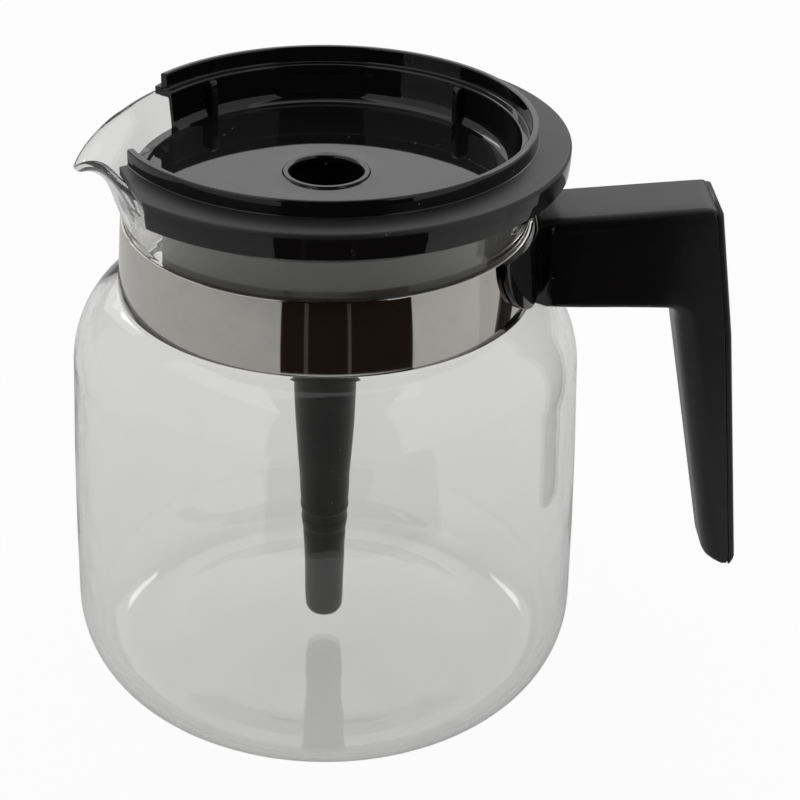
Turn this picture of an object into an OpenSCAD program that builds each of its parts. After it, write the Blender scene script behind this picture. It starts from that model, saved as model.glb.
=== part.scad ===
// Coffee server carafe: glass jug, clamped neck band with handle, lift-off lid with mixing tube.
// Millimetres. Origin: centre of the jug's base on the table. +Z up, handle towards +X, spout towards -X.

/* [Jug] */
// Largest outside radius of the glass body
body_r = 65; // [56:0.5:80]
// How much narrower the body is where the shoulder begins, in radius
body_taper = 2.2; // [0:0.1:6]
// Height of the rounded shoulder
shoulder_h = 19.1; // [12:0.1:30]
// Outside radius of the flat foot ring
foot_r = 49; // [36:1:54]
// Width of the flat foot ring
foot_w = 3; // [2:0.5:6]
// Height of the rounded heel
heel_h = 20; // [10:1:30]
// Rise of the middle of the base above the foot ring
base_rise = 1.4; // [0.4:0.1:3]
// Wall of the glass
glass_t = 2.2; // [1.6:0.1:3.2]
// How far the rim stands out from the neck, in radius
rim_out = 5.3; // [3:0.1:7]
// Height of the rim above the band
rim_rise = 17.9; // [16:0.1:26]

/* [Spout] */
// How far the spout's tip reaches out beyond the rim
tip_out = 6.2; // [3:0.1:12]
// How far the spout's tip lies below the rim
tip_drop = 7.5; // [2:0.1:10]
// Half the width of the spout's mouth where it leaves the neck
spout_w = 21.5; // [18:0.5:24]

/* [Band] */
// Outside radius of the band at its top edge
band_top_r = 49.6; // [48:0.1:50.6]
// How much wider the band's bottom edge is, in radius
band_taper = 1.3; // [0.2:0.1:3]
// Height of the band's bottom edge
band_z = 107.7; // [104:0.5:112]
// Width of the band from edge to edge
band_w = 18.3; // [14:0.1:22]
// Thickness of the band's steel
band_t = 0.8; // [0.5:0.1:1.2]
// Half the distance between the outsides of the band's turned-out ends
ear_y = 6; // [5.2:0.1:7.5]
// How far the turned-out ends stand out from the band
ear_out = 9; // [7.5:0.1:12]

/* [Handle] */
// Width of the handle
handle_w = 20.6; // [18:0.5:26]
// How far the arm's underside lies below the band
arm_drop = 1.7; // [0.4:0.1:4]
// How far the arm's top stands above the band, at the band
arm_rise = 1.2; // [0.4:0.1:4]
// Rise of the arm's top from the band to the outer corner
corner_rise = 3.7; // [0:0.1:8]
// Length of the arm, from the band to the outer top corner
arm_l = 43.8; // [34:0.1:60]
// How far the grip's lower end stands out beyond the top corner
grip_out = 13.5; // [4:0.5:24]
// Height of the handle's lower end
end_z = 30.4; // [20:0.5:60]
// Thickness of the grip near its lower end
grip_end_t = 8.8; // [7:0.2:12]
// Thickness of the grip just below the arm
grip_top_t = 12; // [10:0.2:16]
// Rounding of the grip's two inner long edges
grip_r = 5; // [2:0.5:7]
// Rounding of the arm's two top long edges
arm_r = 2.2; // [1:0.1:4]
// Wall of the handle moulding
handle_t = 2.4; // [1.8:0.1:3]
// Thickness of the cover on the handle's outer side
cover_t = 1.6; // [1.2:0.1:2.4]
// Half the angle the saddle wraps round the band at its top
saddle_top_a = 36.5; // [26:0.5:45]
// Half the angle the saddle wraps round the band at its bottom
saddle_low_a = 18; // [16:1:26]
// Height of the saddle's lowest point above the band's bottom edge
saddle_rise = 1.7; // [0.6:0.1:6]
// Thickness of the saddle
saddle_t = 1.6; // [1:0.1:2.5]

/* [Clamp] */
// Diameter of the clamp screw's shank
screw_d = 4; // [3:0.5:5]
// Diameter of the clamp screw's head
head_d = 7.6; // [6:0.2:9]
// Height of the clamp screw's head
head_h = 2.8; // [2:0.1:4]
// How far the head's outer face lies in from the arm's outer corner
head_in = 0.8; // [0.6:0.1:6]
// Side of the square nut
nut_s = 7; // [6:0.2:8]
// Thickness of the square nut
nut_t = 3.2; // [2.2:0.1:4]

/* [Lid] */
// Height of the raised collar above the flange
collar_h = 3.8; // [2:0.1:8]
// How far the raised collar stands in from the glass rim
collar_in = 4.2; // [2:0.1:6]
// Drop of the flange's top from the collar to its outer edge
flange_drop = 0.4; // [0:0.1:0.8]
// How far the flange reaches out beyond the glass rim
flange_out = 3.6; // [2.6:0.1:7]
// Height of the skirt, from the flange's top to its bottom edge
skirt_h = 6.8; // [4:0.1:9]
// Depth of the lid's dish below the flange's top
dish_h = 9.8; // [7:0.1:11]
// Width of the shelf between the collar's outside and the dish
shelf_w = 4; // [3:0.1:7]
// How much narrower the dish is at its floor, in radius
dish_draft = 0.7; // [0.2:0.1:3]
// Wall of the lid moulding
lid_t = 1.8; // [1.4:0.1:2.2]
// How far the lid's plug reaches down past the band's top edge
plug_h = 5; // [1:0.5:12]
// Half the angle of the gap in the plug over the spout
plug_gap_a = 42; // [34:1:60]
// Half the angle of the gap in the collar over the spout
gap_a = 30; // [20:1:36]
// Half the angle of the gap in the skirt over the spout
skirt_gap_a = 51; // [44:0.5:60]
// Turn of the lid on the jug, away from straight over the spout
lid_turn = 4.5; // [0:0.5:8]
// Fall of the dish's floor from its edge to the hole
dish_fall = 0.6; // [0:0.1:2]
// Radius of the hole in the dish
hole_r = 9.5; // [7:0.1:12]
// Width of the rounded lip round the hole
lip_w = 1.1; // [0.6:0.1:2]
// Angle of the two front ribs from the gap's middle
front_rib_a = 45.5; // [38:0.5:60]
// Angle of the two back ribs from the gap's middle
back_rib_a = 132.5; // [100:0.5:150]
// Width of one rib
rib_w = 2.2; // [1.2:0.1:4]

/* [Tube] */
// Length of the boss under the dish that the tube is pushed over
boss_h = 9; // [5:0.5:12]
// Wall of the tube
tube_t = 1.4; // [1:0.1:2]
// Outside radius of the tube at its waist
waist_r = 7.6; // [6:0.1:8]
// Height of the waist
waist_z = 70; // [55:1:85]
// Outside radius of the tube above its step
step_r = 6.1; // [5.5:0.1:6.8]
// Height of the step
step_z = 42; // [30:1:50]
// Outside radius of the tube near its lower end
tube_low_r = 5; // [4:0.1:5.4]
// Height of the tube's lower end
tube_z = 9.6; // [5:0.1:12]

/* [Hidden] */
$fn = 120;
// room left where two pieces slide past or are pushed into one another
slack = 0.2;
// an overlap that makes a cut go right through
past = 1;
// points on each drawn arc, less one, and the angle that it turns
steps = 8;
quarter = 90;

// Where the pieces meet: everything at the neck follows from the band
band_low_r = band_top_r + band_taper;
band_top_z = band_z + band_w;
neck_top_r = band_top_r - band_t;
neck_low_r = band_low_r - band_t;
rim_r = neck_top_r + rim_out;
rim_z = band_top_z + rim_rise;
tip_x = rim_r + tip_out;
tip_z = rim_z - tip_drop;
ear_x = band_top_r + ear_out;
arm_z = band_z - arm_drop;
arm_top_z = band_top_z + arm_rise;
corner_z = arm_top_z + corner_rise;
corner_x = band_top_r + arm_l;
end_x = corner_x + grip_out;
saddle_z = band_z + saddle_rise;
head_x = corner_x - head_in;
screw_z = band_z + band_w / 2;
// the lid rests this far above the rim
lid_gap = 0.3;
flange_z = rim_z + lid_gap + lid_t + flange_drop;
lid_top_z = flange_z + collar_h;
skirt_z = flange_z - skirt_h;
floor_z = flange_z - dish_h;
collar_r = rim_r - collar_in;
flange_r = rim_r + flange_out;
shelf_r = collar_r - shelf_w;
floor_r = shelf_r - dish_draft;

// Glass jug
// plain neck left between the shoulder and the band
neck_gap = 1.6;
neck_z = band_z - neck_gap;
shoulder_z = neck_z - shoulder_h;
body_top_r = body_r - body_taper;
// where the neck's flare turns, as shares of its height and of its widening
flare_z_share = 0.45;
flare_r_share = 0.3;
flare_z = band_top_z + (rim_z - band_top_z) * flare_z_share;
flare_r = neck_top_r + (rim_r - neck_top_r) * flare_r_share;
// rounding of the glass rim
rim_round = 0.5;

function heel(inset) = [for (i = [0:steps])
    let (a = quarter * i / steps)
    [foot_r + (body_r - foot_r - inset) * sin(a), heel_h - (heel_h - inset) * cos(a)]];

function shoulder(inset) = [for (i = [0:steps])
    let (a = quarter * i / steps)
    [neck_low_r - inset + (body_top_r - neck_low_r) * cos(a),
     shoulder_z + (neck_z - shoulder_z - inset) * sin(a)]];

function neck(inset) = [
    [neck_low_r - inset, band_z],
    [neck_top_r - inset, band_top_z],
    [flare_r - inset, flare_z],
    [rim_r - inset, rim_z - rim_round]];

module glass_outside() {
  rotate_extrude()
    polygon(concat([[0, base_rise], [foot_r - 2 * foot_w, base_rise], [foot_r - foot_w, 0]],
                   heel(0), shoulder(0), neck(0), [[rim_r - rim_round, rim_z], [0, rim_z]]));
}

module glass_inside() {
  mouth_r = rim_r - glass_t + rim_round / 2;
  rotate_extrude()
    polygon(concat([[0, base_rise + glass_t], [foot_r - 2 * foot_w, base_rise + glass_t]],
                   heel(glass_t), shoulder(glass_t), neck(glass_t),
                   [[mouth_r, rim_z], [mouth_r, rim_z + past], [0, rim_z + past]]));
}

// The spout is a drooping lip, drawn as sections across it. Each row says how far out a section is, how
// wide it is and how high its lowest point is, as shares of the spout's reach, half width and rise.
lip_shares = [
    [-0.243, 1.163, -0.48],
    [0, 1, 0.05],
    [0.209, 0.81, 0.337],
    [0.304, 0.707, 0.673],
    [0.409, 0.614, 0.885],
    [0.626, 0.428, 1.048],
    [0.8, 0.279, 1.038],
    [0.974, 0.098, 0.962],
    [1, 0.037, 0.98]];
// the inner face lies inwards, narrower and higher by these shares of the glass's wall
inset_shares = [
    [0.9, 0.45, -0.45],
    [1, 0.45, 0],
    [0.9, -0.27, 0.36],
    [0.86, -0.36, 0.36],
    [0.77, -0.5, 0.64],
    [0.68, -0.3, 0.82],
    [0.45, 0, 0.95],
    [0.45, -0.25, 0.86],
    [-0.45, 0.1, 0.14]];
// how sharply the lip's sections are bent at the middle
lip_power = 1.15;
lip_steps = 12;
// least height of a section, and how far its root stays below the rim
least_rise = 0.8;
root_drop = 1.5;
// the rim dips towards the tip from just inside the neck's radius on, ever faster
dip_in = 1.4;
dip_x = neck_top_r - dip_in;
dip_power = 2.3;

function dip(x) = x < dip_x ? rim_z
  : x > tip_x ? tip_z
  : rim_z - (rim_z - tip_z) * pow((x - dip_x) / (tip_x - dip_x), dip_power);

// one section: where it is, its half width at the rim, its lowest point and its top
function lip_row(i, t) =
    let (row = lip_shares[i], inset = inset_shares[i])
    [neck_top_r + (tip_x - neck_top_r) * row[0] - t * inset[0],
     spout_w * row[1] - t * inset[1],
     band_top_z + (tip_z - band_top_z) * row[2] + t * inset[2],
     i == 0 ? rim_z - root_drop : rim_z + past];

// a bent V through the rim's two edges, carried on up to the section's top
function lip_section(row) =
    let (rise = max(dip(row[0]) - row[2], least_rise),
         reach = pow((row[3] - row[2]) / rise, 1 / lip_power))
    [for (k = [0:lip_steps])
      let (u = 2 * k / lip_steps - 1)
      [-row[0], row[1] * reach * u, row[2] + (row[3] - row[2]) * pow(abs(u), lip_power)]];

// a solid through the lip's sections, from its outer face or from the one inset by t
module lip_solid(t) {
  rows = len(lip_shares);
  n = lip_steps + 1;
  last = (rows - 1) * n;
  points = [for (i = [0:rows - 1]) each lip_section(lip_row(i, t))];
  sides = [for (i = [0:rows - 2], k = [0:n - 1])
      let (a = i * n + k, b = i * n + (k + 1) % n)
      each [[a, b, b + n], [a, b + n, a + n]]];
  near = [for (k = [1:n - 2]) [0, k + 1, k]];
  far = [for (k = [1:n - 2]) [last, last + k, last + k + 1]];
  polyhedron(points, concat(sides, near, far));
}

// everything above the dipping rim
module rim_cut() {
  out = tip_x + 2 * past;
  edge = [for (i = [0:steps])
      let (x = dip_x + (tip_x - dip_x) * i / steps)
      [-x, dip(x)]];
  translate([0, body_r, 0])
    rotate([90, 0, 0])
      linear_extrude(2 * body_r)
        polygon(concat(edge, [[-out, tip_z], [-out, rim_z + 2 * past], [-dip_x, rim_z + 2 * past]]));
}

module glass_jug() {
  color("lightcyan")
    difference() {
      union() {
        glass_outside();
        lip_solid(0);
      }
      glass_inside();
      lip_solid(glass_t);
      rim_cut();
    }
}

// Neck band
ear_a = asin(ear_y / band_low_r);
// height taken off each turned-out end, above and below
ear_trim = 2;
ear_z = band_z + ear_trim;
ear_h = band_w - 2 * ear_trim;
ear_root_x = neck_top_r * cos(ear_a);
screw_hole_d = screw_d + 2 * slack;
strap_in_r = neck_top_r - past;
neck_slope = (neck_low_r - neck_top_r) / band_w;

module screw_line(x, length, d) {
  translate([x, 0, screw_z]) rotate([0, 90, 0]) cylinder(h = length, d = d);
}

module band_strap() {
  rotate([0, 0, ear_a])
    rotate_extrude(angle = 360 - 2 * ear_a)
      polygon([[strap_in_r, band_z], [band_low_r, band_z],
               [band_top_r, band_top_z], [strap_in_r, band_top_z]]);
}

// one end, turned out beside the slot and folded across the screw's line
module band_ear(side, reach) {
  wall_y = side > 0 ? ear_y - band_t : -ear_y;
  translate([ear_root_x, wall_y, ear_z]) cube([reach - ear_root_x, band_t, ear_h]);
  translate([reach - band_t, -ear_y + band_t * (1 + side) / 2, ear_z])
    cube([band_t, 2 * ear_y - band_t, ear_h]);
}

module neck_band() {
  color("silver")
    difference() {
      union() {
        band_strap();
        band_ear(1, ear_x);
        band_ear(-1, ear_x - band_t);
      }
      screw_line(ear_root_x, ear_x, screw_hole_d);
      // the inside follows the neck
      rotate_extrude()
        polygon([[0, band_z - past], [neck_low_r + past * neck_slope, band_z - past],
                 [neck_top_r - past * neck_slope, band_top_z + past], [0, band_top_z + past]]);
    }
}

// Handle
// the side view's points follow these shares of the handle's own sizes
root_share = 0.8;
root_x = band_top_r * root_share;
bend_share = 0.43;
bend_z_share = 0.33;
throat_share = 0.3;
throat_r = 4.6;
end_round = 2.2;
// rise of the grip's inner edge above its end, and of the hollow's floor
toe_h = 6.6;
hollow_h = 8.8;
bend_x = corner_x + (end_x - corner_x) * bend_share;
bend_z = corner_z - (corner_z - end_z) * bend_z_share;
throat_x = corner_x + (end_x - corner_x) * throat_share - grip_top_t;
throat_z = arm_z - throat_r;
toe_x = end_x - grip_end_t;
toe_z = end_z + toe_h;
// the arm's top edge, carried back from the band to the root
top_slope = (corner_z - arm_top_z) / (corner_x - band_top_r);
root_top_z = arm_top_z - (band_top_r - root_x) * top_slope;
// the notch between arm and cover at the outer top corner
notch = 0.6;

// the side view, drawn inside the outer outline by the given amount at the back
function outline(back) = [
    [root_x, root_top_z],
    [corner_x - notch, corner_z],
    [corner_x - back + notch, corner_z - 2 * notch],
    [bend_x - back, bend_z],
    [end_x - back, end_z + end_round],
    [end_x - back - end_round / 2, end_z],
    [toe_x + grip_end_t / 2, end_z],
    [toe_x + end_round / 2, end_z + end_round],
    [toe_x, toe_z],
    [throat_x, throat_z],
    [throat_x - throat_r / 4, arm_z - throat_r / 4],
    [throat_x - throat_r, arm_z],
    [root_x, arm_z]];

module side_plate(points, width) {
  translate([0, width / 2, 0]) rotate([90, 0, 0]) linear_extrude(width) polygon(points);
}

// a bar of rounded section, from a point to a point of the side view, rounded on the side to its left
module rounded_bar(from, to, depth, r, over) {
  run = to - from;
  length = norm(run);
  translate([from[0], 0, from[1]])
    rotate([0, -atan2(run[1], run[0]), 0])
      translate([-over, 0, 0])
        rotate([90, 0, 90])
          linear_extrude(length + 2 * over)
            bar_section(depth, r);
}

// flat at the bottom, rounded at the two upper corners, with its top on the line that it follows
module bar_section(depth, r) {
  translate([-handle_w / 2, -depth]) square([handle_w, depth - r]);
  translate([r - handle_w / 2, -depth]) square([handle_w - 2 * r, depth]);
  for (side = [-1, 1])
    translate([side * (handle_w / 2 - r), -r]) circle(r);
}

// the saddle that hugs the band, with curved lower corners
function saddle_edge() = [for (i = [0:steps])
    let (a = quarter * i / steps)
    [saddle_low_a + (saddle_top_a - saddle_low_a) * sin(a), band_top_z - (band_top_z - saddle_z) * cos(a)]];

module saddle() {
  intersection() {
    rotate_extrude()
      polygon([[root_x, band_z], [band_low_r + saddle_t, band_z],
               [band_top_r + saddle_t, band_top_z], [root_x, band_top_z]]);
    // the saddle's outline, seen along the arm
    rotate([90, 0, 90])
      linear_extrude(body_r)
        polygon(concat(
          [for (p = saddle_edge()) [band_low_r * sin(p[0]), p[1]]],
          [for (i = [steps:-1:0]) let (p = saddle_edge()[i]) [-band_low_r * sin(p[0]), p[1]]]));
  }
}

module arm_and_grip() {
  arm_depth = 2 * (corner_z - arm_z);
  grip_depth = 3 * grip_top_t;
  intersection() {
    side_plate(outline(cover_t), handle_w);
    union() {
      intersection() {
        rounded_bar([root_x, root_top_z], [corner_x, corner_z], arm_depth, arm_r, past);
        translate([0, -handle_w, throat_z]) cube([end_x, 2 * handle_w, corner_z]);
      }
      rounded_bar([toe_x, end_z], [throat_x, throat_z], grip_depth, grip_r, throat_r);
    }
  }
}

// the hollow root of the arm, round the band's turned-out ends
module root_pocket() {
  y = ear_y + slack;
  translate([0, -y, ear_z - slack]) cube([ear_x + slack, 2 * y, ear_h + 2 * slack]);
}

// the hollow in the grip, closed by the cover
module grip_pocket() {
  y = handle_w / 2 - grip_r / 2 - handle_t;
  translate([0, y, 0])
    rotate([90, 0, 0])
      linear_extrude(2 * y)
        polygon([
          [bend_x + past, bend_z],
          [end_x + past, end_z + hollow_h],
          [toe_x + 2 * handle_t, end_z + hollow_h],
          [throat_x + 2 * handle_t, bend_z]]);
}

module handle_body() {
  color("dimgray")
    difference() {
      union() {
        arm_and_grip();
        saddle();
      }
      // room for the band
      rotate_extrude()
        polygon([[0, arm_z - past], [band_low_r + slack, arm_z - past], [band_low_r + slack, band_z],
                 [band_top_r + slack, band_top_z], [band_top_r + slack, corner_z], [0, corner_z]]);
      root_pocket();
      grip_pocket();
      screw_line(0, end_x, screw_hole_d);
      screw_line(head_x - head_h, end_x, head_d + 2 * slack);
    }
}

// the strip that closes the grip's outer side
function cover_outline() = [
    [corner_x + notch, corner_z - 2 * notch],
    [bend_x, bend_z],
    [end_x, end_z + end_round],
    [end_x - end_round / 2, end_z],
    [end_x - end_round / 2 - cover_t, end_z],
    [end_x - cover_t, end_z + end_round],
    [bend_x - cover_t, bend_z],
    [corner_x + notch - cover_t, corner_z - 2 * notch]];

module handle_cover() {
  color("black") side_plate(cover_outline(), handle_w);
}

// Clamp screw and nut
socket_sides = 6;
nut_x = ear_x - 2 * band_t - nut_t;

module clamp_screw() {
  socket_d = head_d / 2;
  socket_h = head_h / 2;
  color("darkgray")
    difference() {
      union() {
        screw_line(nut_x, head_x - nut_x, screw_d);
        screw_line(head_x - head_h, head_h, head_d);
      }
      translate([head_x - socket_h, 0, screw_z])
        rotate([0, 90, 0]) cylinder(h = socket_h + past, d = socket_d, $fn = socket_sides);
    }
}

module clamp_nut() {
  color("gray")
    difference() {
      translate([nut_x, -nut_s / 2, screw_z - nut_s / 2]) cube([nut_t, nut_s, nut_s]);
      screw_line(nut_x - past, nut_t + 2 * past, screw_d);
    }
}

// Lid
boss_r = hole_r + tube_t - slack;
lip_h = 0.5;
lip_round = 0.35;
// the dish's floor at the hole, and the boss's lower end
hub_z = floor_z - dish_fall;
boss_z = hub_z - lid_t - boss_h;
edge_r = 0.8;
rib_depth = 1.6;
// height left of the wall's foot in the gap
sill_h = 0.2;
// how far the wider gap under the flange reaches into it
relief = 0.1;
shelf_drop = 0.2;
// room between the plug and the glass
plug_gap = 0.7;
plug_r = neck_top_r - glass_t - plug_gap;
plug_in_r = plug_r - lid_t;
plug_z = band_top_z - plug_h;
shelf_z = flange_z - shelf_drop;
plate_low_z = flange_z - flange_drop - lid_t;
// where the flange's cut begins, as a share of the way from collar to edge
cut_share = 0.25;
cut_r = collar_r + (flange_r - collar_r) * cut_share;
// how much further the cut's line is drawn, into the collar's gap
lead_share = 0.3;

function at(r, a) = [-r * cos(a), r * sin(a)];

// the whole moulding's section, from the boss round the outside to the dish
module lid_turned() {
  outer_z = flange_z - flange_drop;
  rotate_extrude()
    polygon([
      [hole_r, boss_z],
      [boss_r, boss_z],
      [boss_r, hub_z - lid_t],
      [plug_in_r, floor_z - lid_t],
      [plug_in_r, plug_z],
      [plug_r, plug_z],
      [plug_r, floor_z - lid_t],
      [floor_r + lid_t, floor_z],
      [shelf_r + lid_t, plate_low_z],
      [flange_r - lid_t, plate_low_z],
      [flange_r - lid_t, skirt_z],
      [flange_r - edge_r / 2, skirt_z],
      [flange_r, plate_low_z],
      [flange_r, outer_z - edge_r],
      [flange_r - edge_r / 3, outer_z - edge_r / 3],
      [flange_r - edge_r, outer_z],
      [collar_r, flange_z],
      [collar_r, lid_top_z - edge_r],
      [collar_r - edge_r / 3, lid_top_z - edge_r / 3],
      [collar_r - edge_r, lid_top_z],
      [collar_r - lid_t + edge_r / 2, lid_top_z],
      [collar_r - lid_t, lid_top_z - edge_r],
      [collar_r - lid_t, shelf_z],
      [shelf_r, shelf_z],
      [floor_r + edge_r / 2, floor_z + edge_r],
      [floor_r, floor_z],
      [hole_r + lip_w, hub_z],
      [hole_r + lip_w - lip_round, hub_z + lip_h],
      [hole_r + lip_round, hub_z + lip_h],
      [hole_r, hub_z - lip_round]]);
}

// a wedge over the spout, seen from the axis
module wedge(half_gap, low_z, height) {
  out = 2 * flange_r;
  translate([0, 0, low_z])
    linear_extrude(height)
      polygon([[0, 0], at(out, half_gap), at(out, 0), at(out, -half_gap)]);
}

// the gap in the collar and the dish's wall, down to the edge of the floor
module collar_cut() {
  difference() {
    wedge(gap_a, boss_z, lid_top_z - boss_z + past);
    cylinder(h = floor_z + sill_h, r = floor_r + lid_t / 2);
  }
}

// the flange's edge over the spout, seen from above
module flange_cut() {
  out = 2 * flange_r;
  end = at(flange_r + past, skirt_gap_a);
  start = at(cut_r, gap_a);
  lead = start + (start - end) * lead_share;
  translate([0, 0, skirt_z - past])
    linear_extrude(flange_z - skirt_z + 2 * past)
      polygon([lead, end, [-out, out], [-out, -out], [end[0], -end[1]], [lead[0], -lead[1]]]);
}

// under the flange the skirt's gap is wider, with room for the spout
module skirt_cut() {
  difference() {
    wedge(skirt_gap_a, skirt_z - past, plate_low_z + relief - skirt_z + past);
    cylinder(h = plate_low_z + past, r = collar_r);
  }
}

// the gap in the plug, up to just under the dish's floor
module plug_cut() {
  difference() {
    wedge(plug_gap_a, plug_z - past, hub_z - lid_t - plug_z + past);
    cylinder(h = floor_z, r = plug_in_r - past);
  }
}

module lid_rib(a) {
  r = floor_r + (shelf_r - floor_r) / 2;
  rotate([0, 0, 180 - a])
    translate([r - rib_depth, -rib_w / 2, floor_z])
      cube([rib_depth + lid_t / 2, rib_w, shelf_z - floor_z]);
}

module lid() {
  color("dimgray")
    rotate([0, 0, -lid_turn]) {
      difference() {
        lid_turned();
        collar_cut();
        flange_cut();
        skirt_cut();
        plug_cut();
      }
      for (a = [front_rib_a, back_rib_a], side = [-1, 1])
        lid_rib(side * a);
    }
}

// Mixing tube
socket_r = boss_r + slack / 2;
tube_top_z = hub_z - lid_t;
socket_z = tube_top_z - boss_h;
taper_z = socket_z - 2 * tube_t;
end_h = 2.4;
end_in = 0.9;
step_h = 4;
step_out = 0.1;
step_in = 0.35;
// where the taper below the step ends
low_drop = 12;
low_z = step_z - low_drop;

module mixing_tube() {
  color("dimgray")
    rotate_extrude()
      polygon([
        [socket_r, tube_top_z],
        [socket_r + tube_t, tube_top_z],
        [socket_r + tube_t, socket_z],
        [socket_r, taper_z],
        [waist_r, waist_z],
        [step_r, step_z + step_h / 2],
        [step_r + step_out, step_z],
        [step_r - step_in, step_z - step_h],
        [tube_low_r + step_in, low_z],
        [tube_low_r, tube_z + end_h],
        [tube_low_r - end_in / 3, tube_z + end_h / 3],
        [tube_low_r - end_in, tube_z],
        [tube_low_r - tube_t, tube_z],
        [tube_low_r - tube_t, low_z],
        [step_r - tube_t, step_z],
        [waist_r - tube_t, waist_z],
        [socket_r - tube_t, taper_z],
        [socket_r - tube_t, socket_z],
        [socket_r, socket_z]]);
}

glass_jug();
neck_band();
handle_body();
handle_cover();
clamp_screw();
clamp_nut();
lid();
mixing_tube();
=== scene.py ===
# %% [markdown]
# # A coffee server carafe
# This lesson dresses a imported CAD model: a glass jug with a steel band round its neck, a black handle
# clamped to the band, and a black lid that carries a mixing tube. The CAD model is the frame: every piece
# made here sits exactly where its CAD counterpart is, rides on the same body, and is only finer in shape
# and finish.

# %% Load the frame
import math

import bmesh
import bpy
import numpy as np
from mathutils import Matrix, Vector


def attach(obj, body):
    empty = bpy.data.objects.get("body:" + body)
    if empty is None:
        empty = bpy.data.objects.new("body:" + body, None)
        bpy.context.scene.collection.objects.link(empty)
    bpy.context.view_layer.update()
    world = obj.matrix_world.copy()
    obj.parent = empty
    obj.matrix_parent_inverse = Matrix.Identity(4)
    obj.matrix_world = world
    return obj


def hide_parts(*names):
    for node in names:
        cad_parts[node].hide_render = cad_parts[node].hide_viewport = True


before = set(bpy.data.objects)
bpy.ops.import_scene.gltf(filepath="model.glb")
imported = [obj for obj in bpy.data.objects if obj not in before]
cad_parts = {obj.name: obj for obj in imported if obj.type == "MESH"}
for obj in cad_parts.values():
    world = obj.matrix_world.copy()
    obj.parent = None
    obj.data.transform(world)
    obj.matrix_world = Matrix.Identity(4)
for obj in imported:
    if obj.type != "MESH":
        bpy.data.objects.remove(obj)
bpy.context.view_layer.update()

# %% [markdown]
# ## The camera
# The photograph was taken from the front, about thirty degrees above the table, with a long lens half a
# metre away. A picture that was cropped after it was taken has its optical axis off centre, and the lens
# shift carries that. The camera could be turned by eye, but a fit to the outlines of band, lid and handle
# is exact. The picture's size, the focal length and the axis are in pixels of the picture, eye and aim in
# millimetres.

# %% Set up the camera
MM = 0.001
PICTURE = 800
FOCAL = 1956.65
AXIS_AT = (325.06, 411.15)
ROLL = math.radians(0.33)
SENSOR = 36

eye = Vector((0, -433.3, 319.5)) * MM
aim = Vector((0, 0, 70)) * MM
ahead = (aim - eye).normalized()
level = Vector((1, 0, 0))
upward = level.cross(ahead)
right = level * math.cos(ROLL) + upward * math.sin(ROLL)
above = upward * math.cos(ROLL) - level * math.sin(ROLL)
camera = bpy.data.objects.new("camera", bpy.data.cameras.new("camera"))
bpy.context.scene.collection.objects.link(camera)
camera.matrix_world = Matrix.Translation(eye) @ Matrix((right, above, -ahead)).transposed().to_4x4()
camera.data.sensor_width = SENSOR
camera.data.lens = SENSOR * FOCAL / PICTURE
camera.data.shift_x = (PICTURE / 2 - AXIS_AT[0]) / PICTURE
camera.data.shift_y = (AXIS_AT[1] - PICTURE / 2) / PICTURE
bpy.context.scene.camera = camera
bpy.context.scene.view_settings.view_transform = "Standard"
print("lens %.1f mm, distance %.0f mm" % (camera.data.lens, (aim - eye).length / MM))

# %% [markdown]
# ## Writing shaders as expressions
# A finish such as dusty black plastic is a calculation on numbers that vary over the surface. Drawn by hand
# as nodes it soon becomes a web, so here a small class wraps an output socket and lets Python's own signs
# add the Math nodes. Every other node is made by one method, which takes its type, its settings and its
# sockets.


# %% A number that varies over a surface
class Varies:
    def __init__(self, finish, socket):
        self.finish = finish
        self.socket = socket

    def maths(self, operation, *others):
        values = dict(enumerate((self,) + others))
        return self.finish.add("ShaderNodeMath", {"operation": operation}, values)

    def swapped(self, operation, other):
        return self.finish.add("ShaderNodeMath", {"operation": operation}, {0: other, 1: self})

    def __add__(self, other):
        return self.maths("ADD", other)

    def __sub__(self, other):
        return self.maths("SUBTRACT", other)

    def __mul__(self, other):
        return self.maths("MULTIPLY", other)

    def __truediv__(self, other):
        return self.maths("DIVIDE", other)

    def __gt__(self, other):
        return self.maths("GREATER_THAN", other)

    def __lt__(self, other):
        return self.maths("LESS_THAN", other)

    def __rsub__(self, other):
        return self.swapped("SUBTRACT", other)

    def __rtruediv__(self, other):
        return self.swapped("DIVIDE", other)

    __radd__ = __add__
    __rmul__ = __mul__

    def most(self, other):
        return self.maths("MAXIMUM", other)

    def ramp(self, low, high, start=0.0, end=1.0):
        """start where the value is low or less, end where it is high or more, smooth between."""
        settings = {"interpolation_type": "SMOOTHSTEP"}
        values = {0: self, 1: low, 2: high, 3: start, 4: end}
        return self.finish.add("ShaderNodeMapRange", settings, values)


# %% [markdown]
# ## A finish is a node tree with a name
# The same class builds materials and the world, because both are node trees that end in an output node.


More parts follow.
